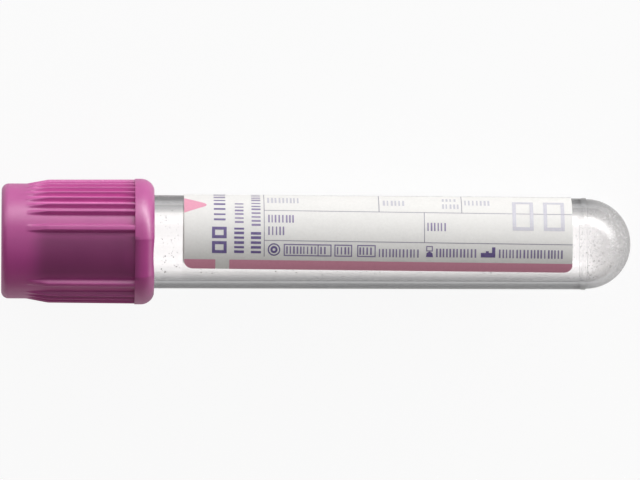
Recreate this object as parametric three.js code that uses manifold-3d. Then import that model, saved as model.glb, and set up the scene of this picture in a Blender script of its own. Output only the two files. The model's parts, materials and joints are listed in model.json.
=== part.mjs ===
/**
 * Evacuated blood collection tube with a push-on safety closure, lying on its side.
 *
 * Millimetres, +Z up. The closure is at -X and the round bottom at +X. The tube rests on one of the
 * two flats of the closure's collar, which keep it from rolling, and on the fine band round the
 * tube's far end, so the closure end is the higher.
 *
 * Each piece is first made on a straight axis along +X. A station is a place on that axis, counted
 * from the closure's end face towards the round bottom. A turn is an angle round the axis, counted
 * from straight up towards -Y.
 */
import * as THREE from 'three';
import * as BufferGeometryUtils from 'three/addons/utils/BufferGeometryUtils.js';
import Module from 'manifold-3d';

const wasm = await Module();
wasm.setup();

// ---------------------------------------------------------------- tube: one clear moulding
const tubeLength = 75; // rim to the tip of the round bottom
const mouthDiameter = 13; // outside, at the rim
const bottomDiameter = 12.64; // outside, where the round bottom starts
const tubeWall = 1;
const rimRounding = 0.3;
const bandWidth = 0.6; // fine band where the two blocks of the mould met
const bandHeight = 0.07;
const bandRamp = 0.1;
const bottomStep = 0.08; // the round bottom is this much slimmer than the wall, in radius

// ---------------------------------------------------------------- stopper: one rubber moulding
const flangeThickness = 2.6;
const flangeRounding = 0.25;
const bossHeight = 4; // above the flange, in the closure's well
const bossRounding = 0.4;
const dishRim = 2; // width of the ring round the needle dish
const dishDepth = 1.3;
const dishFlare = 0.3; // how much wider the dish is at its top, in radius
const dishRounding = 0.6;
const plugLength = 7.4; // below the flange, in the tube's bore
const plugChamfer = 0.45;
const plugSide = 2.8; // rubber left round the cavity under the plug
const septum = 5; // rubber that the needle goes through
const cavityTaper = 0.5;
const cavityRounding = 0.8;

// ---------------------------------------------------------------- shield: ribbed plastic shell
const shieldLength = 21.15;
const shieldWall = 0.72; // between the ribs, outside the stopper's flange
const wellDepth = 9.5; // end face to the ledge that holds the stopper down
const ledgeWidth = 1.55;
const endRounding = 1;
const wellRounding = 0.4;
const retainingLip = 0.3; // how far the bead under the flange reaches in past it
const beadWidth = 0.6;
const skirtRelief = 0.25; // the skirt is this much wider than the bead, in radius
const leadIn = 0.35;
const collarWidth = 2.7;
const collarStep = 0.1; // above the ribs' ends
const collarRounding = 1.9; // runs out into the skirt's mouth
const flatArc = THREE.MathUtils.degToRad(36.6); // collar flat below each bare panel

// ---------------------------------------------------------------- finger ribs of the shield
const ribStart = 3.2; // station where the ramps leave the smooth end
const rampLength = 3.5;
const rampRounding = 2.5;
const ribHeight = 0.57;
const ribRise = 0.07; // height gained from the ramp to the collar
const ribWidth = 0.8;
const wideRibWidth = 1.2; // the rib on each side of a bare panel
const ribChamfer = 0.15;
const ribRoot = 0.35; // how deep a rib reaches into the shell
const ribPitch = THREE.MathUtils.degToRad(8);
const ribFreeArc = THREE.MathUtils.degToRad(12); // wide rib's edge to the next rib's middle
const panelCount = 2; // the first faces straight down
const panelArc = THREE.MathUtils.degToRad(50);

// ---------------------------------------------------------------- label: one paper wrap
const labelThickness = 0.09;
const labelWrap = THREE.MathUtils.degToRad(250);
const labelEdgeTurn = THREE.MathUtils.degToRad(19.5); // its lower long edge
const labelFromRim = 12.95;
const labelFromBand = 1.5;
const labelCorner = 1.2;
const labelSkew = THREE.MathUtils.degToRad(0.55); // wound on slightly askew

// ---------------------------------------------------------------- clearances
const seatGap = 0.1; // between faces that rest on each other
const plugGap = 0.12; // plug to bore, radial
const slideGap = 0.25; // tube to the shield's bead, radial
const flangeGap = 0.2; // flange to shield, radial
const wellGap = 0.3; // stopper's boss to the well, radial
const gluedGap = 0.03; // label to tube

// ---------------------------------------------------------------- fineness
const facets = 60; // round the axis, with a corner straight down
const arcStep = THREE.MathUtils.degToRad(20);
const cornerSteps = 4;
const roundingRoom = 0.95; // the share of a short side that a rounding may take
const samePlace = 1e-5; // points closer than this are one point

// ---------------------------------------------------------------- sizes that follow
const mouthRadius = mouthDiameter / 2;
const bottomRadius = bottomDiameter / 2;
const domeRadius = bottomRadius - bottomStep;

const beadRadius = mouthRadius + slideGap;
const skirtRadius = beadRadius + skirtRelief;
const flangeRadius = beadRadius + retainingLip;
const pocketRadius = flangeRadius + flangeGap;
const shieldRadius = pocketRadius + shieldWall;
const wellRadius = flangeRadius - ledgeWidth;
const crestRadius = shieldRadius + ribHeight + ribRise;
const collarRadius = crestRadius + collarStep;
const flatDepth = collarRadius * (1 - Math.cos(flatArc / 2));

const flangeTop = wellDepth + seatGap;
const flangeBottom = flangeTop + flangeThickness;
const rimStation = flangeBottom + seatGap;
const tipStation = rimStation + tubeLength;
const domeStation = tipStation - domeRadius;
const bandStation = domeStation - bandWidth;
const collarStation = shieldLength - collarWidth;

/** Outer radius of the tube's drafted wall at a station. */
function wallRadius(station) {
  return THREE.MathUtils.mapLinear(station, rimStation, domeStation, mouthRadius, bottomRadius);
}

// ---------------------------------------------------------------- outlines and solids

/** Points of an arc round a centre, both ends included. */
function arc(centre, radius, from, to) {
  const steps = Math.max(1, Math.ceil(Math.abs(to - from) / arcStep));
  return Array.from({ length: steps + 1 }, (_, i) => {
    const angle = from + ((to - from) * i) / steps;
    return new THREE.Vector2(Math.cos(angle), Math.sin(angle)).multiplyScalar(radius).add(centre);
  });
}

/** Replaces one corner by an arc that touches both of its sides. */
function roundedCorner(before, corner, after, rounding) {
  const towardsBefore = before.clone().sub(corner);
  const towardsAfter = after.clone().sub(corner);
  const room = Math.min(towardsBefore.length(), towardsAfter.length());
  const half = Math.acos(towardsBefore.normalize().dot(towardsAfter.normalize())) / 2;
  const cut = Math.min(rounding / Math.tan(half), room * roundingRoom);
  const radius = cut * Math.tan(half);
  const middle = towardsBefore.clone().add(towardsAfter).normalize();
  const centre = corner.clone().addScaledVector(middle, radius / Math.sin(half));
  const from = corner.clone().addScaledVector(towardsBefore, cut).sub(centre).angle();
  const to = corner.clone().addScaledVector(towardsAfter, cut).sub(centre).angle();
  const sweep = THREE.MathUtils.euclideanModulo(to - from + Math.PI, 2 * Math.PI) - Math.PI;
  return arc(centre, radius, from, from + sweep);
}

/** An outline from corners [a, b] or [a, b, rounding]. */
function outline(corners, closed) {
  const points = corners.map(([a, b]) => new THREE.Vector2(a, b));
  const last = points.length - 1;
  return points.flatMap((point, i) => {
    const rounding = corners[i][2];
    if (!rounding || (!closed && (i === 0 || i === last))) return [point];
    return roundedCorner(points.at(i - 1), point, points[(i + 1) % points.length], rounding);
  });
}

/** Revolves a profile of (radius, station) points round the axis. */
function revolve(profile) {
  return new THREE.LatheGeometry(profile, facets).rotateZ(-Math.PI / 2);
}

/** A closed solid through equal rings of points, with a flat end on the first and last. */
function loft(rings) {
  const size = rings[0].length;
  const end = (rings.length - 1) * size;
  const index = [];
  for (let start = 0; start < end; start += size) {
    for (let i = 0; i < size; i += 1) {
      const a = start + i;
      const b = start + ((i + 1) % size);
      index.push(a, b, b + size, a, b + size, a + size);
    }
  }
  for (let i = 1; i < size - 1; i += 1) {
    index.push(0, i + 1, i);
    index.push(end, end + i, end + i + 1);
  }
  return new THREE.BufferGeometry().setFromPoints(rings.flat()).setIndex(index);
}

/** Turns closed geometry into a manifold solid. */
function solidOf(geometry) {
  const bare = geometry.clone();
  bare.deleteAttribute('normal');
  bare.deleteAttribute('uv');
  const merged = BufferGeometryUtils.mergeVertices(bare, samePlace);
  const vertProperties = new Float32Array(merged.attributes.position.array);
  const triVerts = new Uint32Array(merged.index.array);
  return new wasm.Manifold(new wasm.Mesh({ numProp: 3, vertProperties, triVerts }));
}

/** Turns a manifold solid back into geometry. */
function geometryOf(solid) {
  const { vertProperties, triVerts } = solid.getMesh();
  const geometry = new THREE.BufferGeometry();
  geometry.setAttribute('position', new THREE.BufferAttribute(vertProperties, 3));
  geometry.setIndex(new THREE.BufferAttribute(triVerts, 1));
  return geometry;
}

// ---------------------------------------------------------------- tube

/** Outside of the tube from the rim to the tip: drafted wall, fine band, round bottom. */
function tubeOutside() {
  const bandRadius = wallRadius(bandStation) + bandHeight;
  return [
    ...outline([
      [mouthRadius - tubeWall, rimStation, rimRounding],
      [mouthRadius, rimStation, rimRounding],
      [wallRadius(bandStation), bandStation],
    ], false).slice(1),
    new THREE.Vector2(bandRadius, bandStation + bandRamp),
    new THREE.Vector2(bandRadius, domeStation),
    ...arc(new THREE.Vector2(0, domeStation), domeRadius, 0, Math.PI / 2),
  ];
}

function tubeGeometry() {
  const boreEnd = bottomRadius - tubeWall;
  const inside = [
    ...arc(new THREE.Vector2(0, domeStation), boreEnd, Math.PI / 2, 0),
    ...outline([
      [boreEnd, domeStation],
      [mouthRadius - tubeWall, rimStation, rimRounding],
      [mouthRadius, rimStation],
    ], false).slice(1, -1),
  ];
  const profile = [...inside, ...tubeOutside()];
  profile[0].x = 0;
  profile.at(-1).x = 0;
  return revolve(profile);
}

// ---------------------------------------------------------------- stopper

function stopperGeometry() {
  const bossTop = flangeTop - bossHeight;
  const bossRadius = wellRadius - wellGap;
  const dishRadius = bossRadius - dishRim;
  const dishFloor = bossTop + dishDepth;
  const plugRadius = mouthRadius - tubeWall - plugGap;
  const plugEnd = flangeBottom + plugLength;
  const cavityRadius = plugRadius - plugSide;
  const cavityTop = dishFloor + septum;
  return revolve(outline([
    [0, dishFloor],
    [dishRadius, dishFloor, dishRounding],
    [dishRadius + dishFlare, bossTop],
    [bossRadius, bossTop, bossRounding],
    [bossRadius, flangeTop],
    [flangeRadius, flangeTop, flangeRounding],
    [flangeRadius, flangeBottom, flangeRounding],
    [plugRadius, flangeBottom],
    [plugRadius, plugEnd - plugChamfer],
    [plugRadius - plugChamfer, plugEnd],
    [cavityRadius, plugEnd],
    [cavityRadius - cavityTaper, cavityTop, cavityRounding],
    [0, cavityTop],
  ], false));
}

// ---------------------------------------------------------------- shield

/** Collar outline: from the step at the ribs' ends round to the skirt's mouth. */
function collarOutline() {
  const mouth = skirtRadius + leadIn;
  const sweep = Math.acos(Math.max(0, 1 - (collarRadius - mouth) / collarRounding));
  const middle = shieldLength - collarRounding * Math.sin(sweep);
  const fillet = arc(new THREE.Vector2(collarRadius - collarRounding, middle), collarRounding, 0, sweep);
  const lip = new THREE.Vector2(mouth, shieldLength);
  return [
    new THREE.Vector2(shieldRadius, collarStation),
    new THREE.Vector2(collarRadius, collarStation),
    ...fillet.filter((point) => point.distanceTo(lip) > samePlace),
    lip,
  ];
}

/** Shell without its ribs: smooth end, collar, skirt, bead, flange pocket, ledge and well. */
function shellGeometry() {
  const beadStart = flangeBottom + seatGap;
  const beadTop = beadStart + pocketRadius - beadRadius;
  const beadEnd = beadTop + beadWidth;
  const profile = outline([
    [shieldRadius, 0, endRounding],
    ...collarOutline().map((point) => [point.x, point.y]),
    [skirtRadius, shieldLength - leadIn],
    [skirtRadius, beadEnd + skirtRelief],
    [beadRadius, beadEnd],
    [beadRadius, beadTop],
    [pocketRadius, beadStart],
    [pocketRadius, wellDepth],
    [wellRadius, wellDepth],
    [wellRadius, 0, wellRounding],
  ], true);
  return revolve([...profile, profile[0].clone()]);
}

/** One finger rib, its ramp rising out of the smooth end and its end sunk in the collar. */
function ribGeometry(width, turn) {
  const root = shieldRadius - ribRoot;
  const rampRun = (rampLength * ribRoot) / ribHeight;
  const end = collarStation + ribRoot;
  const side = new THREE.Shape(outline([
    [ribStart - rampRun, root],
    [end, root],
    [end, crestRadius],
    [ribStart + rampLength, shieldRadius + ribHeight, rampRounding],
  ], true));
  const depth = width - 2 * ribChamfer;
  const rib = new THREE.ExtrudeGeometry(side, {
    depth,
    bevelThickness: ribChamfer,
    bevelSize: ribChamfer,
    bevelOffset: -ribChamfer,
    bevelSegments: 1,
  });
  return rib.translate(0, 0, -depth / 2).rotateX(Math.PI / 2 + turn);
}

/** Width and turn of each rib between two bare panels, for the zone that follows a panel. */
function ribsAfterPanel(panelMiddle) {
  const zoneStart = panelMiddle + panelArc / 2;
  const zoneArc = (2 * Math.PI) / panelCount - panelArc;
  const wideArc = wideRibWidth / shieldRadius;
  const free = zoneArc - 2 * (wideArc + ribFreeArc);
  const gaps = Math.floor(free / ribPitch);
  const firstTurn = zoneStart + (zoneArc - gaps * ribPitch) / 2;
  const narrow = Array.from({ length: gaps + 1 }, (_, i) => [ribWidth, firstTurn + i * ribPitch]);
  return [
    [wideRibWidth, zoneStart + wideArc / 2],
    ...narrow,
    [wideRibWidth, zoneStart + zoneArc - wideArc / 2],
  ];
}

/** What a collar flat takes off: all that is outside the collar's outline, sunk and drawn straight. */
function flatCutter(turn) {
  const sunk = collarOutline().slice(1).map((point) => [point.y, point.x - flatDepth]);
  const outside = collarRadius + flatDepth;
  const side = new THREE.Shape(outline([
    [collarStation - flatDepth, collarRadius - flatDepth],
    ...sunk,
    [shieldLength + flatDepth, sunk.at(-1)[1]],
    [shieldLength + flatDepth, outside],
    [collarStation - flatDepth, outside],
  ], true));
  const cutter = new THREE.ExtrudeGeometry(side, { depth: 2 * collarRadius, bevelEnabled: false });
  return cutter.translate(0, 0, -collarRadius).rotateX(Math.PI / 2 + turn);
}

function shieldGeometry() {
  let shield = solidOf(shellGeometry());
  for (let panel = 0; panel < panelCount; panel += 1) {
    const panelMiddle = Math.PI + (2 * Math.PI * panel) / panelCount;
    for (const [width, turn] of ribsAfterPanel(panelMiddle)) {
      shield = shield.add(solidOf(ribGeometry(width, turn)));
    }
    shield = shield.subtract(solidOf(flatCutter(panelMiddle)));
  }
  return geometryOf(shield);
}

// ---------------------------------------------------------------- label

const labelStart = rimStation + labelFromRim;
const labelEnd = bandStation - labelFromBand;

/** A point on the tube's wall, or at a height above it. */
function onTube(turn, station, height) {
  const radius = wallRadius(station) + height;
  return new THREE.Vector3(station, -radius * Math.sin(turn), radius * Math.cos(turn));
}

/** Angles across the wrap, close together in the rounded corners, and the end's inset at each. */
function labelStations() {
  const cornerArc = labelCorner / mouthRadius;
  const corner = Array.from({ length: cornerSteps }, (_, i) => {
    const angle = (i * Math.PI) / 2 / cornerSteps;
    return [cornerArc * (1 - Math.cos(angle)), labelCorner * (1 - Math.sin(angle))];
  });
  const straight = labelWrap - 2 * cornerArc;
  const steps = Math.ceil((straight * facets) / (2 * Math.PI));
  const middle = Array.from({ length: steps + 1 }, (_, i) => [cornerArc + (straight * i) / steps, 0]);
  const far = corner.map(([across, inset]) => [labelWrap - across, inset]).reverse();
  return [...corner, ...middle, ...far];
}

function labelGeometry() {
  const middle = (labelStart + labelEnd) / 2;
  const top = gluedGap + labelThickness;
  const rings = labelStations().map(([across, inset]) => {
    const start = labelStart + inset;
    const end = labelEnd - inset;
    const skewed = (station, height) => {
      const drift = ((station - middle) * Math.tan(labelSkew)) / mouthRadius;
      return onTube(labelEdgeTurn - across + drift, station, height);
    };
    return [skewed(start, top), skewed(end, top), skewed(end, gluedGap), skewed(start, gluedGap)];
  });
  return loft(rings);
}

// ---------------------------------------------------------------- the part at rest

/** Angle between the axis and the surface that the collar's flat and the tube's far end lie on. */
function restTilt() {
  const labelRadius = wallRadius(labelEnd) + gluedGap + labelThickness;
  const carried = [...tubeOutside(), new THREE.Vector2(labelRadius, labelEnd)];
  const far = carried.filter((point) => point.y > shieldLength);
  const flat = collarOutline().slice(1).map((point) => new THREE.Vector2(point.x - flatDepth, point.y));
  const slopes = far.map((point) => Math.max(...flat.map((c) => (c.x - point.x) / (point.y - c.y))));
  return Math.atan(Math.min(...slopes));
}

function piece(name, geometry, look) {
  const mesh = new THREE.Mesh(geometry, new THREE.MeshStandardMaterial(look));
  mesh.name = name;
  return mesh;
}

const clearPlastic = { color: 0xeef0f0, roughness: 0.08, metalness: 0, transparent: true, opacity: 0.3 };
const shieldPlastic = { color: 0xb0458c, roughness: 0.35, metalness: 0 };
const rubber = { color: 0x7d3a66, roughness: 0.75, metalness: 0 };
const paper = { color: 0xf1efec, roughness: 0.6, metalness: 0 };

const lying = new THREE.Group();
lying.rotation.y = restTilt();
lying.add(
  piece('tube', tubeGeometry(), clearPlastic),
  piece('label', labelGeometry(), paper),
  piece('stopper', stopperGeometry(), rubber),
  piece('shield', shieldGeometry(), shieldPlastic),
);

const box = new THREE.Box3().setFromObject(lying, true);
const centre = box.getCenter(new THREE.Vector3());
lying.position.set(-centre.x, -centre.y, -box.min.z);

const part = new THREE.Group();
part.add(lying);

export default part;
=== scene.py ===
"""Looks of an evacuated blood collection tube lying on a flat of its closure's collar.

Every piece is first made in the tube's own straight frame, in millimetres. A station is a place along
the axis, counted from the closure's end face towards the round bottom. A turn is an angle round the
axis, counted from straight up towards -Y. to_row() puts such points in the row frame, in metres.
"""

import json
import math

import bmesh
import bpy
import numpy as np
from mathutils import Matrix, Vector


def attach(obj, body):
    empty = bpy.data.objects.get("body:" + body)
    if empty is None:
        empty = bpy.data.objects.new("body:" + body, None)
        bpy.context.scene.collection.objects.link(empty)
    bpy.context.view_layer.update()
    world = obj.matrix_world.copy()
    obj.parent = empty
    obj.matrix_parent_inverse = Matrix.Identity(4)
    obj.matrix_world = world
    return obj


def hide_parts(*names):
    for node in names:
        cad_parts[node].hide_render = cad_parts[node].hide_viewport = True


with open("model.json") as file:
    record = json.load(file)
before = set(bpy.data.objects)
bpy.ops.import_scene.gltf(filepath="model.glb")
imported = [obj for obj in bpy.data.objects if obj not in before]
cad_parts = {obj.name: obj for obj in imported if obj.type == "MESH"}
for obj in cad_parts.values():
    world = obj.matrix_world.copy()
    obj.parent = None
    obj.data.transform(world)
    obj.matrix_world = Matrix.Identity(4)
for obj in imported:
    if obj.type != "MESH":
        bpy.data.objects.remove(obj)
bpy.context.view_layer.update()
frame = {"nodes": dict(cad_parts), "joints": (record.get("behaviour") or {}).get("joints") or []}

MM = 0.001
TUBE_BODY = "tube_body"
CLOSURE_BODY = "closure"

# ---------------------------------------------------------------- the straight frame
ALONG = -np.array(Vector(frame["joints"][0]["axis"]).normalized())
SIDE = np.array([0.0, 1.0, 0.0])
UP = np.cross(ALONG, SIDE)
BASIS = np.array([ALONG, SIDE, UP])


def cad_points(node):
    """A CAD node's points in millimetres, along the straight frame's axes."""
    mesh = frame["nodes"][node].data
    flat = np.empty(len(mesh.vertices) * 3)
    mesh.vertices.foreach_get("co", flat)
    return flat.reshape(-1, 3) @ BASIS.T / MM


TUBE_POINTS = cad_points("tube")
SHIELD_POINTS = cad_points("shield")
TUBE_MIDDLE = (TUBE_POINTS.min(0) + TUBE_POINTS.max(0)) / 2
ORIGIN = np.array([SHIELD_POINTS[:, 0].min(), TUBE_MIDDLE[1], TUBE_MIDDLE[2]])


def to_row(points):
    """Points of the straight frame, in millimetres, to the row frame, in metres."""
    return (np.asarray(points, float) + ORIGIN) @ BASIS * MM


def placed(points):
    """Row points, in metres, along the straight axes in millimetres, for tones and materials.

    ORIGIN comes off before the turn, so these places lie 0.2 mm further along and 1.3 mm higher than
    the straight frame's own. The looks were matched with them."""
    return (np.asarray(points, float) / MM - ORIGIN) @ BASIS.T


def turned(station, turn, radius):
    """The straight frame's point at a station, turn and radius."""
    station, turn, radius = np.broadcast_arrays(station, turn, radius)
    return np.stack([station, -radius * np.sin(turn), radius * np.cos(turn)], axis=-1)


def widest(points, low, high):
    """The largest radius of a CAD node between two stations."""
    local = points - ORIGIN
    inside = (local[:, 0] >= low) & (local[:, 0] <= high)
    return float(np.hypot(local[inside, 1], local[inside, 2]).max())


# ---------------------------------------------------------------- sizes, in millimetres
RIM = float((TUBE_POINTS - ORIGIN)[:, 0].min())
TIP = float((TUBE_POINTS - ORIGIN)[:, 0].max())
MOUTH_R = widest(TUBE_POINTS, RIM, RIM + 1)
WALL = 1.0
RIM_ROUNDING = 0.3
DRAFT = 0.18  # the wall is this much slimmer at the round bottom, in radius
BOTTOM_R = MOUTH_R - DRAFT
BORE_END_R = BOTTOM_R - WALL
BAND_HEIGHT = 0.07
BAND_WIDTH = 0.6
BAND_RAMP = 0.1
BOTTOM_STEP = 0.08  # from the wall in to the round bottom
DOME_R = BOTTOM_R - BOTTOM_STEP
DOME = TIP - DOME_R
BAND = DOME - BAND_WIDTH

SHIELD_END = float((SHIELD_POINTS - ORIGIN)[:, 0].max())
SHIELD_R = widest(SHIELD_POINTS, 0, 2)
COLLAR_R = widest(SHIELD_POINTS, SHIELD_END - 2, SHIELD_END)
COLLAR_WIDTH = 2.7
COLLAR = SHIELD_END - COLLAR_WIDTH
COLLAR_ROUND = 1.9
FLAT_ARC = math.radians(36.6)
FLAT_DEPTH = COLLAR_R * (1 - math.cos(FLAT_ARC / 2))
SLIDE_GAP = 0.25  # tube to the shield's bead
BEAD_R = MOUTH_R + SLIDE_GAP
SKIRT_RELIEF = 0.25  # the skirt is this much wider than the bead
SKIRT_R = BEAD_R + SKIRT_RELIEF
LEAD_IN = 0.35
COLLAR_SWEEP = math.acos(1 - (COLLAR_R - SKIRT_R - LEAD_IN) / COLLAR_ROUND)
RETAINING_LIP = 0.3  # the bead reaches in past the flange
FLANGE_R = BEAD_R + RETAINING_LIP
FLANGE_GAP = 0.2
POCKET_R = FLANGE_R + FLANGE_GAP
LEDGE_WIDTH = 1.55
WELL_R = FLANGE_R - LEDGE_WIDTH
LEDGE = 9.5
FLANGE_THICKNESS = 2.6
SEAT_GAP = 0.1
FLANGE_TOP = LEDGE + SEAT_GAP
FLANGE_BOTTOM = FLANGE_TOP + FLANGE_THICKNESS

RIB_START = 3.2
RAMP = 3.5
RIB_HEIGHT = 0.57
RIB_RISE = 0.07
RIB_WIDTH = 0.8
WIDE_RIB_WIDTH = 1.2
RIB_EDGE = 0.36
RIB_PITCH = math.radians(8)
RIB_FREE_ARC = math.radians(12)
PANELS = 2
PANEL_ARC = math.radians(50)
PANEL_TURNS = [math.pi + 2 * math.pi * panel / PANELS for panel in range(PANELS)]

LABEL_FROM_RIM = 12.95
LABEL_FROM_BAND = 1.5
LABEL_START = RIM + LABEL_FROM_RIM
LABEL_END = BAND - LABEL_FROM_BAND
LABEL_LENGTH = LABEL_END - LABEL_START
LABEL_WRAP = math.radians(250)
LABEL_HEIGHT = LABEL_WRAP * MOUTH_R
LABEL_EDGE_TURN = math.radians(19.5)
LABEL_CORNER = 1.2
LABEL_SKEW = math.radians(0.55)
LABEL_BACK = 0.03  # heights above the tube's wall
LABEL_FACE = 0.12
INK = 0.015  # above the label's face


def wall_radius(station):
    """Outer radius of the tube's drafted wall."""
    return MOUTH_R + (BOTTOM_R - MOUTH_R) * (station - RIM) / (DOME - RIM)


# ---------------------------------------------------------------- meshes
def mesh_piece(name, points, faces, sharp=30):
    """A smooth-shaded object from straight-frame points, with creases where faces turn sharply."""
    mesh = bpy.data.meshes.new(name)
    mesh.from_pydata(to_row(points).tolist(), [], faces)
    mesh.validate()
    mesh.shade_smooth()
    mesh.set_sharp_from_angle(angle=math.radians(sharp))
    piece = bpy.data.objects.new(name, mesh)
    bpy.context.scene.collection.objects.link(piece)
    return piece


def arc(station, radius, size, start, end, steps):
    """Profile points on a circle of that size, from angle start to end, in degrees from +radius."""
    angles = np.radians(np.linspace(start, end, steps + 1))
    return [(station + size * math.sin(a), radius + size * math.cos(a)) for a in angles]


def revolve(name, profile, turns, closed=False, sharp=30):
    """A solid turned from (station, radius) points, its outside drawn towards the round bottom.

    An open profile starts and ends on the axis. A point may hold one value for each turn."""
    rows = []
    points = []
    for station, radius in profile:
        if np.max(radius) <= 0:
            rows.append([len(points)] * len(turns))
            points.append((station, 0, 0))
            continue
        rows.append(list(range(len(points), len(points) + len(turns))))
        points.extend(turned(station, turns, radius))
    if closed:
        rows.append(rows[0])
    faces = []
    for low, high in zip(rows, rows[1:]):
        for i in range(len(turns)):
            j = (i + 1) % len(turns)
            corners = dict.fromkeys((low[i], low[j], high[j], high[i]))
            faces.append(tuple(corners))
    return mesh_piece(name, points, faces, sharp)


def even_turns(count):
    return np.linspace(0, 2 * math.pi, count, endpoint=False)


# ---------------------------------------------------------------- tube
def wall_stations(start, end):
    """Rings along a straight wall, with one close to each end that keeps its shading straight."""
    close = 0.04
    return [start + close, *np.linspace(start + 1, end - 1, 9), end - close]


def tube_outside():
    """Outside of the tube from the rim's crown to the tip."""
    band_r = wall_radius(BAND) + BAND_HEIGHT
    fillet = 0.02
    return [
        *arc(RIM + RIM_ROUNDING, MOUTH_R - RIM_ROUNDING, RIM_ROUNDING, -90, 0, 6),
        *[(s, wall_radius(s)) for s in wall_stations(RIM + RIM_ROUNDING, BAND - BAND_RAMP)],
        (BAND, band_r - BAND_HEIGHT / 4),
        (BAND + BAND_RAMP, band_r),
        (DOME - BAND_RAMP, band_r),
        (DOME - BAND_RAMP / 3, band_r - BAND_HEIGHT / 3),
        (DOME, DOME_R + fillet),
        *arc(DOME, 0, DOME_R, 1.5, 90, 40)[:-1],
        (TIP, 0),
    ]


def bore_radius(station):
    return wall_radius(station) - WALL


def tube_inside():
    """Inside of the tube from the bottom of the bore to the rim's crown."""
    lip = MOUTH_R - WALL + RIM_ROUNDING
    return [
        (DOME + BORE_END_R, 0),
        *arc(DOME, 0, BORE_END_R, 90, 0, 36)[1:],
        *[(s, bore_radius(s)) for s in reversed(wall_stations(RIM + RIM_ROUNDING, DOME))],
        *arc(RIM + RIM_ROUNDING, lip, RIM_ROUNDING, -180, -90, 6),
    ]


def make_tube():
    piece = revolve("tube_clear", [*tube_inside(), *tube_outside()], even_turns(192))
    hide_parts("tube")
    return piece


# ---------------------------------------------------------------- shield
def rib_pattern():
    """(turn, width) of every finger rib: zones of ribs between bare panels."""
    wide_arc = WIDE_RIB_WIDTH / SHIELD_R
    zone = 2 * math.pi / PANELS - PANEL_ARC
    gaps = math.floor((zone - 2 * (wide_arc + RIB_FREE_ARC)) / RIB_PITCH)
    ribs = []
    for panel_turn in PANEL_TURNS:
        start = panel_turn + PANEL_ARC / 2
        first = start + (zone - gaps * RIB_PITCH) / 2
        ribs.append((start + wide_arc / 2, WIDE_RIB_WIDTH))
        ribs.extend((first + i * RIB_PITCH, RIB_WIDTH) for i in range(gaps + 1))
        ribs.append((start + zone - wide_arc / 2, WIDE_RIB_WIDTH))
    return ribs


RIBS = rib_pattern()


def ease(share):
    share = np.clip(share, 0, 1)
    return share * share * (3 - 2 * share)


def straight_rise(share):
    """A straight rise from 0 to 1 with a short rounding at each end."""
    ends = 0.12
    share = np.clip(share, 0, 1)
    foot = share ** 2 / (2 * ends)
    head = 1 - ends - (1 - share) ** 2 / (2 * ends)
    rise = np.where(share < ends, foot, np.where(share > 1 - ends, head, share - ends / 2))
    return rise / (1 - ends)


def wrapped(angle):
    """An angle brought between half a turn back and half a turn on."""
    return (angle + math.pi) % (2 * math.pi) - math.pi


def rib_shares(turns):
    """How much of a rib's height is there at each turn, from 0 in a groove to 1 on a crest."""
    shares = np.zeros(len(turns))
    for turn, width in RIBS:
        inside = width / 2 - np.abs(wrapped(turns - turn)) * SHIELD_R
        shares = np.maximum(shares, ease(inside / RIB_EDGE))
    return shares


def ribbed(station, shares):
    """Radius of the shell with its ribs, at each turn."""
    height = RIB_HEIGHT * straight_rise((station - RIB_START) / RAMP)
    height += RIB_RISE * np.clip((station - RIB_START - RAMP) / (COLLAR - RIB_START - RAMP), 0, 1)
    return SHIELD_R + height * shares


def flattened(radius, turns):
    """A radius on the collar at each turn, less where a flat cuts it."""
    reach = 1.2
    for panel_turn in PANEL_TURNS:
        off = np.clip(np.abs(wrapped(turns - panel_turn)), 0, reach)
        flat = np.where(off < reach, (radius - FLAT_DEPTH) / np.cos(off), radius)
        radius = np.minimum(radius, flat)
    return radius


def collar_ring(sweep, turns):
    """Station and radius on the collar's large rounding, at an angle past the cylinder."""
    station = SHIELD_END + COLLAR_ROUND * (np.sin(sweep) - math.sin(COLLAR_SWEEP))
    return station, flattened(COLLAR_R - COLLAR_ROUND * (1 - np.cos(sweep)), turns)


def collar_sweeps(turns):
    """The angle at which the collar's rounding meets the skirt's lead-in, at each turn."""
    low = np.zeros(len(turns))
    high = np.full(len(turns), COLLAR_SWEEP)
    for _ in range(40):
        middle = (low + high) / 2
        station, radius = collar_ring(middle, turns)
        outside = radius > SKIRT_R + LEAD_IN - (SHIELD_END - station)
        low = np.where(outside, middle, low)
        high = np.where(outside, high, middle)
    return high


def shield_turns():
    """Turns close together on ribs' flanks and the edges of flats, further apart elsewhere."""
    found = list(even_turns(180))
    for turn, width in RIBS:
        for share in np.linspace(0, 1, 7):
            flank = (width / 2 - share * RIB_EDGE) / SHIELD_R
            found.extend([turn - flank, turn + flank])
    for panel_turn in PANEL_TURNS:
        for past in np.radians(np.linspace(-0.4, 2, 9)):
            found.extend([panel_turn - FLAT_ARC / 2 - past, panel_turn + FLAT_ARC / 2 + past])
    found = np.sort(np.mod(found, 2 * math.pi))
    keep = np.concatenate([[True], np.diff(found) > math.radians(0.12)])
    return found[keep]


def shield_outside(turns):
    """Outside of the shell, from its end face round the collar."""
    end_round = 1.0
    smooth_rings = (1.6, 2.4)
    close = 0.12
    top_edge = 0.06
    shares = rib_shares(turns)
    ramp_stations = np.linspace(RIB_START, RIB_START + RAMP, 25)
    rib_stations = np.linspace(RIB_START + RAMP, COLLAR - close, 8)[1:]
    collar_edge = arc(COLLAR + top_edge, COLLAR_R - top_edge, top_edge, -90, 0, 3)
    sweeps = collar_sweeps(turns)
    return [
        *arc(end_round, SHIELD_R - end_round, end_round, -90, 0, 12),
        *[(s, SHIELD_R) for s in smooth_rings],
        *[(s, ribbed(s, shares)) for s in (*ramp_stations, *rib_stations, COLLAR)],
        *[(s, flattened(r, turns)) for s, r in collar_edge],
        *[collar_ring(sweeps * share, turns) for share in np.linspace(0, 1, 17)],
    ]


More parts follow.
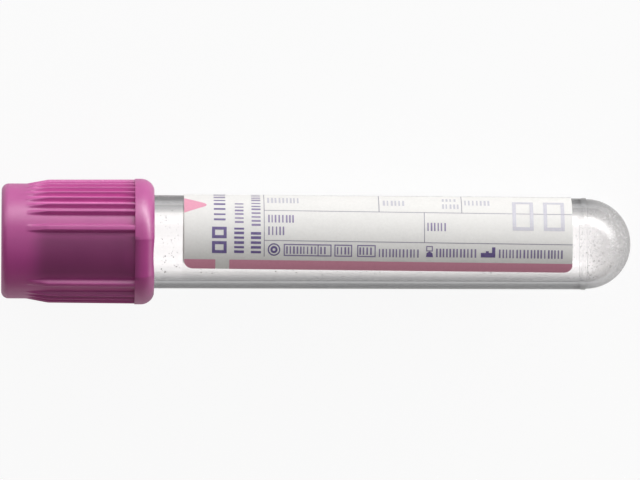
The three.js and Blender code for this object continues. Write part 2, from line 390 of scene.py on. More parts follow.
def shield_inside():
    """Inside of the shell, from the skirt's mouth past the bead and the ledge up the well."""
    well_round = 0.4
    bead_width = 0.6
    bead_start = FLANGE_BOTTOM + SEAT_GAP
    bead_top = bead_start + POCKET_R - BEAD_R
    bead_end = bead_top + bead_width
    return [
        (SHIELD_END - LEAD_IN, SKIRT_R),
        (bead_end + SKIRT_RELIEF, SKIRT_R),
        (bead_end, BEAD_R),
        (bead_top, BEAD_R),
        (bead_start, POCKET_R),
        (LEDGE, POCKET_R),
        (LEDGE, WELL_R),
        *arc(well_round, WELL_R + well_round, well_round, -180, -90, 6),
    ]


# The shell's points carry painted shade and painted light, which its material reads under this name.
PAINTED_SHADING_ATTRIBUTE = "painted_shade_and_light"
GROOVE_PAINTED_LIGHT = 0.4
PANEL_PAINTED_SHADE = 0.5
FLAT_PAINTED_SHADE = 0.36
PANEL_SHADE_FADE = math.radians(12)
GROOVE_LIGHT_FADE = math.radians(4)


def painted_shade_and_light_factors(places):
    """Factors of the shell's colour: painted shade on the upper panel and its collar flat, and
    painted light in the grooves of the ribbed flanks at the ribs' pitch. See placed() for why the
    underside has neither."""
    stations, sides, ups = places.T
    turns = np.arctan2(sides, ups)
    off = np.min([np.abs(wrapped(turns - turn)) for turn in PANEL_TURNS], axis=0)
    # Painted shade: the upper panel is drawn darker, fading out towards its edges.
    panel = ease((PANEL_ARC / 2 - off) / PANEL_SHADE_FADE)
    first_rib = PANEL_ARC / 2 + WIDE_RIB_WIDTH / SHIELD_R + RIB_FREE_ARC
    # Painted light: the grooves between the narrow ribs are drawn lighter than the plastic.
    stripe = (1 - rib_shares(turns)) * ease((off - first_rib) / GROOVE_LIGHT_FADE)
    ribbed_part = ease((stations - RIB_START) / RAMP) * (stations < COLLAR)
    # Painted shade: the collar's flat beside the upper panel is drawn darker.
    on_flat = (off < FLAT_ARC / 2) * (stations >= COLLAR) * (stations < SHIELD_END - COLLAR_ROUND)
    outside = np.hypot(sides, ups) > SHIELD_R - 0.1
    tones = (GROOVE_PAINTED_LIGHT * stripe - PANEL_PAINTED_SHADE * panel) * ribbed_part - FLAT_PAINTED_SHADE * on_flat
    return 1 + tones * outside


def paint_shade_and_light(piece):
    """Writes the painted shade and light to the shell's points, where its material reads them."""
    marks = piece.data.color_attributes.new(name=PAINTED_SHADING_ATTRIBUTE, type="FLOAT_COLOR", domain="POINT")
    values = painted_shade_and_light_factors(placed([v.co for v in piece.data.vertices]))
    for mark, value in zip(marks.data, values):
        mark.color = (value, value, value, 1)


def make_shield():
    turns = shield_turns()
    profile = [*shield_outside(turns), *shield_inside()]
    piece = revolve("shield_shell", profile, turns, closed=True, sharp=40)
    paint_shade_and_light(piece)
    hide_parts("shield")
    return piece


# ---------------------------------------------------------------- stopper
BOSS_HEIGHT = 4  # above the flange, in the closure's well
BOSS_TOP = FLANGE_TOP - BOSS_HEIGHT
WELL_GAP = 0.3
BOSS_R = WELL_R - WELL_GAP
BOSS_ROUND = 0.4
BOSS_FILLET = 0.15
DISH_DEPTH = 1.3
DISH_FLOOR = BOSS_TOP + DISH_DEPTH
DISH_RIM = 2  # width of the ring round the needle dish
DISH_R = BOSS_R - DISH_RIM
DISH_ROUND = 0.6
DISH_FLARE = 0.4
DISH_EDGE = 0.3
FLANGE_ROUND = 0.25
PLUG_GAP = 0.12
PLUG_R = MOUTH_R - WALL - PLUG_GAP
PLUG_LENGTH = 7.4
PLUG_END = FLANGE_BOTTOM + PLUG_LENGTH
PLUG_CHAMFER = 0.45
SEPTUM = 5  # rubber that the needle goes through
CAVITY_TOP = DISH_FLOOR + SEPTUM
PLUG_SIDE = 2.8  # rubber left round the cavity
CAVITY_R = PLUG_R - PLUG_SIDE
CAVITY_TAPER = 0.5
CAVITY_CORNER = (0.8, 0.6)  # along and inwards


def stopper_top():
    """Needle dish, boss and flange, from the axis out to the flange's lower edge."""
    return [
        (DISH_FLOOR, 0),
        (DISH_FLOOR, DISH_R - DISH_ROUND),
        *arc(DISH_FLOOR - DISH_ROUND, DISH_R - DISH_ROUND, DISH_ROUND, 90, 15, 6),
        *arc(BOSS_TOP + DISH_EDGE, DISH_R + DISH_FLARE + DISH_EDGE, DISH_EDGE, -165, -90, 4),
        *arc(BOSS_TOP + BOSS_ROUND, BOSS_R - BOSS_ROUND, BOSS_ROUND, -90, 0, 6),
        *arc(FLANGE_TOP - BOSS_FILLET, BOSS_R + BOSS_FILLET, BOSS_FILLET, 180, 90, 4),
        *arc(FLANGE_TOP + FLANGE_ROUND, FLANGE_R - FLANGE_ROUND, FLANGE_ROUND, -90, 0, 5),
        *arc(FLANGE_BOTTOM - FLANGE_ROUND, FLANGE_R - FLANGE_ROUND, FLANGE_ROUND, 0, 90, 5),
    ]


def stopper_plug():
    """Plug in the bore, and the cavity under it back to the axis."""
    return [
        (FLANGE_BOTTOM, PLUG_R),
        (PLUG_END - PLUG_CHAMFER, PLUG_R),
        (PLUG_END, PLUG_R - PLUG_CHAMFER),
        (PLUG_END, CAVITY_R),
        (CAVITY_TOP + CAVITY_CORNER[0], CAVITY_R - CAVITY_TAPER),
        (CAVITY_TOP, CAVITY_R - CAVITY_TAPER - CAVITY_CORNER[1]),
        (CAVITY_TOP, 0),
    ]


def make_stopper():
    piece = revolve("stopper_rubber", [*stopper_top(), *stopper_plug()], even_turns(128))
    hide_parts("stopper")
    return piece


# ---------------------------------------------------------------- label
def on_label(along, up, height):
    """The straight frame's point that far along from the label's closure end, and up from its
    lower edge."""
    station = LABEL_START + np.asarray(along, float)
    drift = (station - (LABEL_START + LABEL_END) / 2) * math.tan(LABEL_SKEW) / MOUTH_R
    turn = LABEL_EDGE_TURN - np.asarray(up, float) / MOUTH_R + drift
    return turned(station, turn, wall_radius(station) + height)


def make_label():
    """The paper: rings across the wrap, pulled in at the rounded corners."""
    corner = [
        (LABEL_CORNER * (1 - math.cos(a)), LABEL_CORNER * (1 - math.sin(a)))
        for a in np.linspace(0, math.pi / 2, 9)[:-1]
    ]
    middle = [(up, 0) for up in np.linspace(LABEL_CORNER, LABEL_HEIGHT - LABEL_CORNER, 181)]
    far = [(LABEL_HEIGHT - up, inset) for up, inset in reversed(corner)]
    points = []
    for up, inset in [*corner, *middle, *far]:
        end = LABEL_LENGTH - inset
        for along, height in (
            (inset, LABEL_FACE), (end, LABEL_FACE), (end, LABEL_BACK), (inset, LABEL_BACK)
        ):
            points.append(on_label(along, up, height))
    rings = len(points) // 4
    faces = [(0, 3, 2, 1), tuple(4 * (rings - 1) + i for i in range(4))]
    for ring in range(rings - 1):
        for i in range(4):
            a = 4 * ring + i
            b = 4 * ring + (i + 1) % 4
            faces.append((a, b, b + 4, a + 4))
    piece = mesh_piece("label_paper", points, faces)
    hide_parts("label")
    return piece


def box_shape(along0, along1, up0, up1):
    return [(along0, up0), (along1, up0), (along1, up1), (along0, up1)]


def frame_shapes(along0, along1, up0, up1, line):
    """The four sides of a rectangle drawn with a line of that width."""
    return [
        box_shape(along0, along1, up0, up0 + line),
        box_shape(along0, along1, up1 - line, up1),
        box_shape(along0, along0 + line, up0 + line, up1 - line),
        box_shape(along1 - line, along1, up0 + line, up1 - line),
    ]


def ring_shapes(along, up, radius, line, steps=28):
    """A circle drawn with a line of that width."""
    angles = np.linspace(0, 2 * math.pi, steps + 1)
    rim = [(along + radius * math.cos(a), up + radius * math.sin(a)) for a in angles]
    inner = radius - line
    core = [(along + inner * math.cos(a), up + inner * math.sin(a)) for a in angles]
    return [[rim[i], rim[i + 1], core[i + 1], core[i]] for i in range(steps)]


def run_shapes(start, end, low, high, pitch, seed, fill, upward=False):
    """Plain bars of uneven width in a row, standing for a word. upward turns it up the wrap."""
    rng = np.random.default_rng(seed)
    shapes = []
    place = start
    while place < end - pitch * 0.4:
        size = min(pitch * rng.uniform(*fill), end - place)
        ends = (place, place + size)
        shapes.append(box_shape(low, high, *ends) if upward else box_shape(*ends, low, high))
        place += pitch * rng.uniform(0.95, 1.15)
    return shapes


def print_piece(name, shapes):
    """Ink on the paper: flat shapes cut across the wrap and laid on its curve."""
    strip = 0.35
    bm = bmesh.new()
    for shape in shapes:
        bm.faces.new([bm.verts.new((x, y, 0)) for x, y in shape])
    for cut in np.arange(strip, LABEL_HEIGHT, strip):
        bmesh.ops.bisect_plane(
            bm, geom=[*bm.verts, *bm.edges, *bm.faces], plane_co=(0, cut, 0), plane_no=(0, 1, 0)
        )
    bmesh.ops.triangulate(bm, faces=[f for f in bm.faces if len(f.verts) > 4])
    bmesh.ops.recalc_face_normals(bm, faces=bm.faces)
    for face in bm.faces:
        if face.normal.z < 0:
            face.normal_flip()
    bm.verts.index_update()
    points = [on_label(v.co.x, v.co.y, LABEL_FACE + INK) for v in bm.verts]
    faces = [tuple(v.index for v in f.verts) for f in bm.faces]
    bm.free()
    return mesh_piece(name, points, faces)


# The print's places are millimetres along from the label's closure end and up from its lower edge.
STRIPE_TOP = 1.43
STRIPE_GAP = (4.31, 6.25)
ROW_LOW = 4.2
ROW_HIGH = 8.72
ROW_TOP = 13.7
ROW_LAST = 18.4
TABLE_LEFT = 11.05
RULE = 0.1
STROKES = (0.34, 0.52)  # shares of the pitch that thin bars take
HEAVY_STROKES = (0.45, 0.65)
SPACED_STROKES = (0.3, 0.45)
PALE_STROKES = (0.4, 0.6)


def corner_points(along, facing):
    """Points round a lower corner of the label. facing is 1 at the closure end, -1 at the other."""
    angles = np.linspace(-math.pi / 2, -math.pi, 8)
    centre = along + facing * LABEL_CORNER
    return [
        (centre + facing * LABEL_CORNER * math.cos(a), LABEL_CORNER * (1 + math.sin(a)))
        for a in angles
    ]


def stripe_shapes():
    """Coloured stripe along the lower edge, with a gap near the closure, and the arrow above it."""
    left, right = STRIPE_GAP
    end = LABEL_LENGTH
    near = [(left, 0), *corner_points(0, 1), (0, STRIPE_TOP), (left, STRIPE_TOP)]
    far = [(right, 0), *corner_points(end, -1), (end, STRIPE_TOP), (right, STRIPE_TOP)]
    arrow = [(0, 8.1), (2.9, 9.35), (3.15, 9.65), (2.9, 10.0), (0, 11.3)]
    return [near, far, arrow]


def rule_shapes():
    """Ruled table of the write-on fields."""
    half = RULE / 2
    level = [
        box_shape(TABLE_LEFT, LABEL_LENGTH, y - half, y + half)
        for y in (ROW_LOW, ROW_HIGH, ROW_TOP, ROW_LAST)
    ]
    upright = [
        box_shape(x - half, x + half, low, high)
        for x, low, high in (
            (TABLE_LEFT, 1.95, 25.5), (33.2, ROW_LOW, ROW_HIGH),
            (26.95, ROW_HIGH, ROW_TOP), (38.4, ROW_HIGH, ROW_TOP),
        )
    ]
    return level + upright


def fine_mark_shapes():
    """Rows of thin strokes in the fields and in the row of signs."""
    rows = [
        (11.6, 15.3, 6.75, 7.95), (11.6, 13.9, 4.95, 6.15), (33.6, 36.2, 5.85, 7.05),
        (26.9, 32.4, 2.1, 3.25), (34.8, 40.6, 2.2, 3.4), (43.5, 52.7, 2.2, 3.4),
        (14.1, 18.2, 2.4, 3.42), (18.8, 19.9, 2.4, 3.42),
        (21.1, 22.9, 2.4, 3.42), (24.2, 26.1, 2.4, 3.42),
    ]
    shapes = []
    for seed, row in enumerate(rows):
        shapes += run_shapes(*row, 0.46, seed, fill=STROKES)
    shapes += run_shapes(6.6, 10.4, 7.0, 8.2, 0.62, 16, upward=True, fill=STROKES)
    shapes += run_shapes(6.2, 13.5, 9.3, 10.55, 0.62, 17, upward=True, fill=STROKES)
    for left, right in ((13.75, 20.35), (20.75, 23.2), (23.9, 26.45)):
        shapes += frame_shapes(left, right, 2.08, 3.76, 0.15)
    shapes.append(box_shape(18.43, 18.56, 2.2, 3.65))
    shapes += frame_shapes(33.45, 34.35, 3.0, 3.75, 0.13)
    return shapes


def bold_mark_shapes():
    """Heavier marks at the closure end and the solid signs of the lower row."""
    return [
        *frame_shapes(3.83, 5.86, 2.35, 4.0, 0.42),
        *frame_shapes(3.83, 5.86, 4.4, 6.0, 0.42),
        *run_shapes(6.95, 17.5, 4.1, 5.7, 0.85, 22, upward=True, fill=SPACED_STROKES),
        *run_shapes(2.4, 5.9, 6.9, 8.25, 0.62, 23, upward=True, fill=HEAVY_STROKES),
        *run_shapes(2.4, 5.5, 9.2, 10.6, 0.62, 24, upward=True, fill=HEAVY_STROKES),
        *ring_shapes(12.4, 2.95, 0.87, 0.17),
        *ring_shapes(12.4, 2.95, 0.5, 0.3, 16),
        [(33.4, 2.2), (34.4, 2.2), (34.3, 2.75), (33.9, 3.0), (33.5, 2.75)],
        box_shape(41.0, 43.0, 2.25, 2.9),
        box_shape(41.7, 42.1, 2.9, 3.15),
        box_shape(42.55, 43.0, 2.9, 3.7),
    ]


def pale_mark_shapes():
    """Faint rows in the top fields, drawn faint as a painted highlight of glare on the print, and two
    empty tick boxes at the far end of the label.
    """
    rows = [
        (11.5, 15.9, 10.3, 11.8), (27.5, 30.8, 10.0, 11.3),
        (35.7, 38.0, 11.2, 12.1), (35.7, 38.0, 9.5, 10.5), (38.8, 42.4, 10.3, 11.6),
    ]
    shapes = []
    for seed, row in enumerate(rows):
        shapes += run_shapes(*row, 0.5, 40 + seed, fill=PALE_STROKES)
    shapes += frame_shapes(45.4, 48.3, 6.1, 11.3, 0.5)
    shapes += frame_shapes(49.7, 52.6, 6.1, 11.3, 0.5)
    return shapes


# ---------------------------------------------------------------- dried additive
DROPLETS_START = 22
DROPLETS_ON_WALL = 2600
DROPLETS_IN_DOME = 2200
DROPLETS_DEPTH = 5.1  # how far into the round bottom they reach
DROPLET_SIZE = 0.052  # radius of the middling one
DROPLET_SPREAD = 0.42
DROPLET_LIMITS = (0.03, 0.12)
DROPLET_SIDES = 8
DROPLET_GAP = 0.004  # to the wall
DROPLET_RINGS = ((1.0, 0.0), (0.7, 0.22))  # radius and height, as shares of the droplet's size
DROPLET_CROWN = 0.3


def droplet_points(station, turn, size):
    """One flat dome that faces the axis: its foot, its shoulder and its crown."""
    depth = max(station - DOME, 0)
    bore = math.sqrt(BORE_END_R ** 2 - depth ** 2) if depth else bore_radius(station)
    slope = depth / BORE_END_R
    points = []
    for share, height in DROPLET_RINGS:
        for k in range(DROPLET_SIDES):
            angle = 2 * math.pi * k / DROPLET_SIDES
            step = share * size * math.cos(angle)
            sweep = share * size * math.sin(angle) / bore
            rise = DROPLET_GAP + height * size + step * slope
            points.append(turned(station + step, turn + sweep, bore - rise))
    points.append(turned(station, turn, bore - DROPLET_GAP - DROPLET_CROWN * size))
    return points


def droplet_faces(first):
    """The faces of a dome whose points are numbered from first."""
    foot = list(range(first, first + DROPLET_SIDES))
    shoulder = [point + DROPLET_SIDES for point in foot]
    crown = first + 2 * DROPLET_SIDES
    faces = []
    for k in range(DROPLET_SIDES):
        n = (k + 1) % DROPLET_SIDES
        faces.append((foot[k], foot[n], shoulder[n], shoulder[k]))
        faces.append((shoulder[k], shoulder[n], crown))
    faces.append(tuple(reversed(foot)))
    return faces


def make_droplets():
    """Tiny dried droplets, scattered over the inside of the wall and of the round bottom."""
    rng = np.random.default_rng(4)
    count = DROPLETS_ON_WALL + DROPLETS_IN_DOME
    stations = np.concatenate([
        rng.uniform(DROPLETS_START, DOME, DROPLETS_ON_WALL),
        rng.uniform(DOME, DOME + DROPLETS_DEPTH, DROPLETS_IN_DOME),
    ])
    around = rng.uniform(0, 2 * math.pi, count)
    drawn = rng.lognormal(math.log(DROPLET_SIZE), DROPLET_SPREAD, count)
    sizes = np.clip(drawn, *DROPLET_LIMITS)
    points = []
    faces = []
    for droplet in zip(stations, around, sizes):
        faces.extend(droplet_faces(len(points)))
        points.extend(droplet_points(*droplet))
    return mesh_piece("dried_additive", points, faces, sharp=80)


# ---------------------------------------------------------------- materials
def new_material(name, **values):
    """A node material whose Principled shader has these plain values, by socket name."""
    mat = bpy.data.materials.new(name)
    mat.use_nodes = True
    shader = mat.node_tree.nodes["Principled BSDF"]
    for socket, value in values.items():
        shader.inputs[socket.replace("_", " ")].default_value = value
    return mat, mat.node_tree.nodes, mat.node_tree.links, shader


def srgb(red, green, blue):
    """A colour given as it looks on screen, from 0 to 255, as linear RGBA."""
    def linear(value):
        value /= 255
        return value / 12.92 if value <= 0.04045 else ((value + 0.055) / 1.055) ** 2.4
    return (linear(red), linear(green), linear(blue), 1.0)


def mix_shaders(nodes, links, share, first, second):
    """The shader between two others. A share of 0 gives the first and 1 the second."""
    mix = nodes.new("ShaderNodeMixShader")
    links.new(share, mix.inputs["Fac"])
    links.new(first, mix.inputs[1])
    links.new(second, mix.inputs[2])
    return mix.outputs["Shader"]


def add_noise(nodes, links, scale, detail=3.0, roughness=0.5):
    """A noise texture in the object's own metres, as its value socket."""
    coords = nodes.new("ShaderNodeTexCoord")
    noise = nodes.new("ShaderNodeTexNoise")
    noise.inputs["Scale"].default_value = scale
    noise.inputs["Detail"].default_value = detail
    noise.inputs["Roughness"].default_value = roughness
    links.new(coords.outputs["Object"], noise.inputs["Vector"])
    return noise.outputs["Fac"]


def add_ramp(nodes, links, value, stops):
    """A colour ramp over a value, from (place, colour) stops."""
    ramp = nodes.new("ShaderNodeValToRGB")
    links.new(value, ramp.inputs["Fac"])
    ramp.color_ramp.elements[0].position, ramp.color_ramp.elements[0].color = stops[0]
    ramp.color_ramp.elements[1].position, ramp.color_ramp.elements[1].color = stops[-1]
    for place, colour in stops[1:-1]:
        ramp.color_ramp.elements.new(place).color = colour
    return ramp.outputs["Color"]


def add_bump(nodes, links, shader, value, strength, distance):
    bump = nodes.new("ShaderNodeBump")
    bump.inputs["Strength"].default_value = strength
    bump.inputs["Distance"].default_value = distance
    links.new(value, bump.inputs["Height"])
    links.new(bump.outputs["Normal"], shader.inputs["Normal"])


def shield_material():
    """Satin purple plastic, with painted shade and painted light from the factors written to the
    shell's points.
    """
    mat, nodes, links, shader = new_material("purple_plastic", IOR=1.58, Specular_IOR_Level=1.0)
    cloud = add_noise(nodes, links, 260, 4)
    colour = add_ramp(nodes, links, cloud, [(0.3, srgb(170, 62, 134)), (0.7, srgb(178, 68, 140))])
    # Reads the painted shade and light off the shell's points.
    shade = nodes.new("ShaderNodeAttribute")
    shade.attribute_name = PAINTED_SHADING_ATTRIBUTE
    toned = nodes.new("ShaderNodeMix")
    toned.data_type = "RGBA"
    toned.blend_type = "MULTIPLY"
    toned.inputs["Factor"].default_value = 1.0
    links.new(colour, toned.inputs["A"])
    links.new(shade.outputs["Color"], toned.inputs["B"])
    links.new(toned.outputs["Result"], shader.inputs["Base Color"])
    grain = add_noise(nodes, links, 7000, 2)
    add_bump(nodes, links, shader, grain, 0.12, 0.00004)
    rough = nodes.new("ShaderNodeMapRange")
    rough.inputs["To Min"].default_value = 0.32
    rough.inputs["To Max"].default_value = 0.42
    links.new(add_noise(nodes, links, 900, 3), rough.inputs["Value"])
    links.new(rough.outputs["Result"], shader.inputs["Roughness"])
    return mat


LIGHT_THROUGH_PAPER = 0.25


def paper_material():
    """White coated paper, thin enough to let a part of the light through."""
    mat, nodes, links, shader = new_material(
        "coated_paper", Roughness=0.7, IOR=1.45, Specular_IOR_Level=0.15
    )
    fibres = add_noise(nodes, links, 2600, 5, 0.65)
    tones = [(0.25, srgb(230, 229, 227)), (0.75, srgb(238, 237, 235))]
    colour = add_ramp(nodes, links, fibres, tones)
    links.new(colour, shader.inputs["Base Color"])
    add_bump(nodes, links, shader, add_noise(nodes, links, 5200, 4, 0.6), 0.08, 0.00003)
    through = nodes.new("ShaderNodeBsdfTranslucent")
    links.new(colour, through.inputs["Color"])
    mix = nodes.new("ShaderNodeMixShader")
    mix.inputs["Fac"].default_value = LIGHT_THROUGH_PAPER
    links.new(shader.outputs["BSDF"], mix.inputs[1])
    links.new(through.outputs["BSDF"], mix.inputs[2])
    links.new(mix.outputs["Shader"], nodes["Material Output"].inputs["Surface"])
    return mat


def ink_material(name, low, high):
    """Printed ink, a little uneven in strength."""
    mat, nodes, links, shader = new_material(
        name, Roughness=0.45, IOR=1.45, Specular_IOR_Level=0.7
    )
    spread = add_noise(nodes, links, 3400, 4, 0.6)
    links.new(add_ramp(nodes, links, spread, [(0.3, low), (0.7, high)]), shader.inputs["Base Color"])
    return mat


def rubber_material():
    """Dull purple rubber."""
    mat, nodes, links, shader = new_material("purple_rubber", Roughness=0.7, IOR=1.5)
    cloud = add_noise(nodes, links, 700, 4)
    colour = add_ramp(nodes, links, cloud, [(0.3, srgb(104, 44, 80)), (0.7, srgb(122, 56, 96))])
    links.new(colour, shader.inputs["Base Color"])
    add_bump(nodes, links, shader, add_noise(nodes, links, 4000, 3), 0.2, 0.00005)
    return mat


# Colours of the clear plastic by how far a surface turns from view, from 0 face on to 1 edge on.
# The wall's fall to dark grey towards edge on is painted shade along the tube's edges; the bore's
# slight grey is its own.
WALL_TINT_AND_EDGE_SHADE = [
    (0.15, (0.985, 0.97, 0.97, 1.0)),
    (0.20, (0.82, 0.82, 0.82, 1.0)),
    (0.24, (0.52, 0.52, 0.52, 1.0)),
    (0.30, (0.33, 0.33, 0.335, 1.0)),
    (0.40, (0.29, 0.29, 0.295, 1.0)),
    (0.48, (0.23, 0.23, 0.235, 1.0)),
    (0.55, (0.08, 0.08, 0.082, 1.0)),
    (0.68, (0.05, 0.05, 0.052, 1.0)),
]
BORE_TINT = [(0.0, (0.985, 0.97, 0.97, 1.0)), (1.0, (0.95, 0.95, 0.95, 1.0))]
TIP_TINT = (0.80, 0.79, 0.785, 1.0)
TIP_SHARE = 0.7
MIST_START = DOME - 1
MIST_FULL = TIP - 1.5
OUTER_MIST = 0.22  # roughness at the tip
BORE_MIST = 0.28
WAVER = 0.06  # roughness that the noise adds


def dome_share(nodes, links, most):
    """0 along the wall, rising smoothly to a largest value at the tip of the round bottom."""
    place = nodes.new("ShaderNodeTexCoord")
    along = nodes.new("ShaderNodeSeparateXYZ")
    links.new(place.outputs["Object"], along.inputs["Vector"])
    share = nodes.new("ShaderNodeMapRange")
    share.interpolation_type = "SMOOTHSTEP"
    share.inputs["From Min"].default_value = to_row((MIST_START, 0, 0))[0]
    share.inputs["From Max"].default_value = to_row((MIST_FULL, 0, 0))[0]
    share.inputs["To Max"].default_value = most
    links.new(along.outputs["X"], share.inputs["Value"])
    return share.outputs["Result"]


def clear_material(name, tints_and_edge_shade, mist):
    """Clear moulded plastic, misted towards the tip, with painted shade where seen edge on. Lamps
    shine straight through its wall.
    """
    mat, nodes, links, shader = new_material(
        name, IOR=1.45, Transmission_Weight=1.0, Specular_IOR_Level=0.3
    )
    rough = nodes.new("ShaderNodeMath")
    rough.operation = "MULTIPLY_ADD"
    rough.inputs[1].default_value = WAVER
    links.new(add_noise(nodes, links, 500, 3), rough.inputs[0])
    links.new(dome_share(nodes, links, mist), rough.inputs[2])
    links.new(rough.outputs["Value"], shader.inputs["Roughness"])
    # Painted shade: the wall's colour falls to dark grey where it is seen edge on.
    slant = nodes.new("ShaderNodeLayerWeight")
    slant.inputs["Blend"].default_value = 0.5
    slant_tint_and_shade = add_ramp(nodes, links, slant.outputs["Facing"], tints_and_edge_shade)
    tint_and_shade = nodes.new("ShaderNodeMix")
    tint_and_shade.data_type = "RGBA"
    tint_and_shade.inputs["B"].default_value = TIP_TINT
    links.new(dome_share(nodes, links, TIP_SHARE), tint_and_shade.inputs["Factor"])
    links.new(slant_tint_and_shade, tint_and_shade.inputs["A"])
    links.new(tint_and_shade.outputs["Result"], shader.inputs["Base Color"])
    shadow_ray = nodes.new("ShaderNodeLightPath").outputs["Is Shadow Ray"]
    opening = nodes.new("ShaderNodeBsdfTransparent").outputs["BSDF"]
    surface = mix_shaders(nodes, links, shadow_ray, shader.outputs["BSDF"], opening)
    links.new(surface, nodes["Material Output"].inputs["Surface"])
    return mat


def droplet_material():
    """Pale dried salt that lets a part of the light through."""
    mat, nodes, links, shader = new_material(
        "dried_salt", Roughness=0.45, IOR=1.35, Transmission_Weight=0.4
    )
    cloud = add_noise(nodes, links, 3000, 2)
    colour = add_ramp(nodes, links, cloud, [(0.3, srgb(196, 192, 194)), (0.7, srgb(238, 236, 238))])
    links.new(colour, shader.inputs["Base Color"])
    return mat


def white_share(nodes, links, in_view, in_gloss, through_plastic):
    """How much white a ray sees: in view, in a reflection, or through clear plastic."""
    path = nodes.new("ShaderNodeLightPath")
    total = None
    for kind, share in (
        ("Is Camera Ray", in_view),
        ("Is Glossy Ray", in_gloss),
        ("Is Transmission Ray", through_plastic),
    ):
        part = nodes.new("ShaderNodeMath")
        part.operation = "MULTIPLY_ADD"
        part.inputs[1].default_value = share
        part.inputs[2].default_value = 0.0
        links.new(path.outputs[kind], part.inputs[0])
        if total:
            links.new(total, part.inputs[2])
        total = part.outputs[0]
    return total


# ---------------------------------------------------------------- dressing
def dress(piece, mat, body):
    """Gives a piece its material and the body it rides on."""
    piece.data.materials.append(mat)
    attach(piece, body)


def line_bore(tube, mat):
    """Gives the bore a second material, which is less tinted than the skin's, without its painted
    edge shade.

    It is read off placed(), so the bore's top keeps the skin's material and the skin's underside
    has the bore's."""
    tube.data.materials.append(mat)
    stations, sides, ups = placed([face.center for face in tube.data.polygons]).T
    depths = np.maximum(stations - DOME, 0)
    middles = np.where(depths > 0, BOTTOM_R, wall_radius(stations)) - WALL / 2
    within = np.hypot(np.hypot(sides, ups), depths) < middles
    for face, in_bore in zip(tube.data.polygons, within):
        face.material_index = int(in_bore)


def make_closure():
    dress(make_shield(), shield_material(), CLOSURE_BODY)
    dress(make_stopper(), rubber_material(), CLOSURE_BODY)


def make_tube_pieces():
    tube = make_tube()
    dress(tube, clear_material("clear_plastic", WALL_TINT_AND_EDGE_SHADE, OUTER_MIST), TUBE_BODY)
    line_bore(tube, clear_material("clear_plastic_bore", BORE_TINT, BORE_MIST))
    dress(make_droplets(), droplet_material(), TUBE_BODY)
    dress(make_label(), paper_material(), TUBE_BODY)


def make_print():
    pink = ink_material("pink_ink", srgb(211, 142, 165), srgb(219, 151, 174))
    violet = ink_material("violet_ink", srgb(92, 78, 126), srgb(112, 98, 146))
    soft_violet = ink_material("soft_violet_ink", srgb(118, 106, 142), srgb(136, 124, 160))
    grey = ink_material("rule_ink", srgb(130, 124, 142), srgb(150, 144, 160))
    # Pale ink: the top fields' rows are drawn faint as a painted highlight of glare; the tick boxes
    # are pale print.
    pale = ink_material("pale_ink", srgb(184, 182, 192), srgb(196, 194, 202))
    for name, shapes, ink in (
        ("label_stripe", stripe_shapes(), pink),
        ("label_rules", rule_shapes(), grey),
        ("label_fine_marks", fine_mark_shapes(), soft_violet),
        ("label_bold_marks", bold_mark_shapes(), violet),
        ("label_pale_marks", pale_mark_shapes(), pale),
    ):
        dress(print_piece(name, shapes), ink, TUBE_BODY)


# ---------------------------------------------------------------- stage
def make_floor():
    """A pale floor that looks white but for the shadows on it."""
    bpy.ops.mesh.primitive_circle_add(vertices=96, radius=1.2, fill_type="NGON")
    floor = bpy.context.object
    floor.name = "floor"
    mat, nodes, links, shader = new_material(
        "white_floor", Base_Color=(0.86, 0.86, 0.86, 1.0), Roughness=0.9
    )
    share = white_share(nodes, links, in_view=0.92, in_gloss=0.3, through_plastic=0.92)
    glow = nodes.new("ShaderNodeEmission").outputs["Emission"]
    surface = mix_shaders(nodes, links, share, shader.outputs["BSDF"], glow)
    links.new(surface, nodes["Material Output"].inputs["Surface"])
    floor.data.materials.append(mat)


def make_world():
    """A nearly dark room that is seen as white, and in part in gloss and through clear plastic."""
    world = bpy.data.worlds.new("studio")
    bpy.context.scene.world = world
    world.use_nodes = True
    nodes = world.node_tree.nodes
    links = world.node_tree.links
    room = nodes["Background"]
    room.inputs["Color"].default_value = (1, 1, 1, 1)
    room.inputs["Strength"].default_value = 0.02
    white = nodes.new("ShaderNodeBackground")
    white.inputs["Color"].default_value = (1, 1, 1, 1)
    share = white_share(nodes, links, in_view=1.0, in_gloss=0.1, through_plastic=0.92)
    seen = white.outputs["Background"]
    surface = mix_shaders(nodes, links, share, room.outputs["Background"], seen)
    links.new(surface, nodes["World Output"].inputs["Surface"])


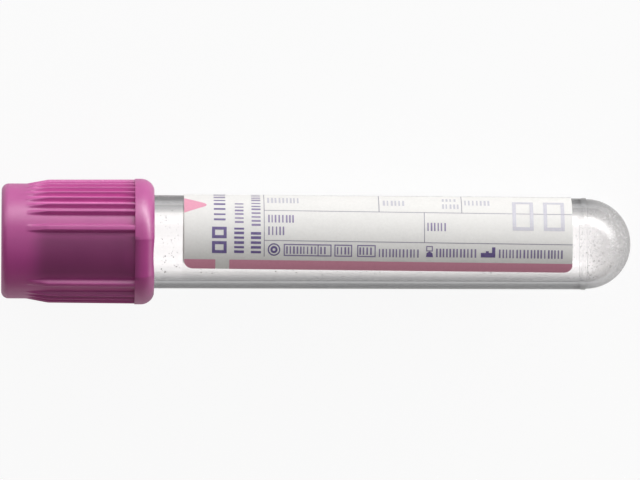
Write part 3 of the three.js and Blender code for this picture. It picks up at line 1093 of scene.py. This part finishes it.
def softbox(name, place, target, width, height, radiance):
    """A flat lamp that faces a target, of a given brightness whatever its size."""
    lamp = bpy.data.lights.new(name, "AREA")
    lamp.shape = "RECTANGLE"
    lamp.size = width
    lamp.size_y = height
    lamp.energy = radiance * math.pi * width * height
    holder = bpy.data.objects.new(name, lamp)
    holder.location = place
    holder.rotation_euler = (Vector(target) - Vector(place)).to_track_quat("-Z", "Y").to_euler()
    holder.visible_camera = False
    bpy.context.scene.collection.objects.link(holder)
    return holder


def make_lights():
    """A key lamp and soft walls beyond the tube and past its round bottom, and weaker ones above it
    and on its near side. Places are in metres."""
    on_tube = (0, 0, 0.01)
    softbox("key", (0.34, 0.45, 0.10), on_tube, 0.8, 0.2, 5.0)
    softbox("far_wall", (0, 0.5, 0.15), (0, 0, 0.15), 1.6, 0.3, 1.5)
    softbox("right_wall", (0.6, 0, 0.12), (0, 0, 0.12), 0.8, 0.24, 1.2)
    high = softbox("high_wall", (0, 0.5, 0.45), on_tube, 1.6, 0.3, 0.85)
    above = softbox("above", (0, 0.22, 0.6), on_tube, 1.2, 0.4, 0.85)
    near = softbox("near_wall", (0, -0.5, 0.11), (0, 0, 0.11), 1.6, 0.2, 1.4)
    near.data.color = (1.0, 0.92, 0.84)
    for lamp in (high, above, near):
        lamp.visible_glossy = False


def make_camera():
    """Above the tube and far back, leaning to its far side, with the round bottom a hair lower."""
    frame_width = 0.0888
    distance = 1.4
    lean = math.radians(16.5)
    roll = math.radians(0.3)
    aim_station = 44.19
    aim_above = 0.35
    ahead = Vector((0, -math.sin(lean), -math.cos(lean)))
    along = Vector(ALONG)
    across = (along - ahead * along.dot(ahead)).normalized()
    upward = across.cross(ahead)
    right = across * math.cos(roll) + upward * math.sin(roll)
    up = right.cross(ahead)
    aim = Vector(to_row((aim_station, 0, 0))) + up * aim_above * MM
    data = bpy.data.cameras.new("camera")
    data.sensor_width = 36
    data.lens = data.sensor_width * distance / frame_width
    data.clip_end = 10
    camera = bpy.data.objects.new("camera", data)
    turn = Matrix((right, up, -ahead)).transposed().to_4x4()
    camera.matrix_world = Matrix.Translation(aim - ahead * distance) @ turn
    bpy.context.scene.collection.objects.link(camera)
    bpy.context.scene.camera = camera


make_closure()
make_tube_pieces()
make_print()
make_floor()
make_world()
make_lights()
make_camera()
bpy.context.scene.view_settings.view_transform = "Standard"
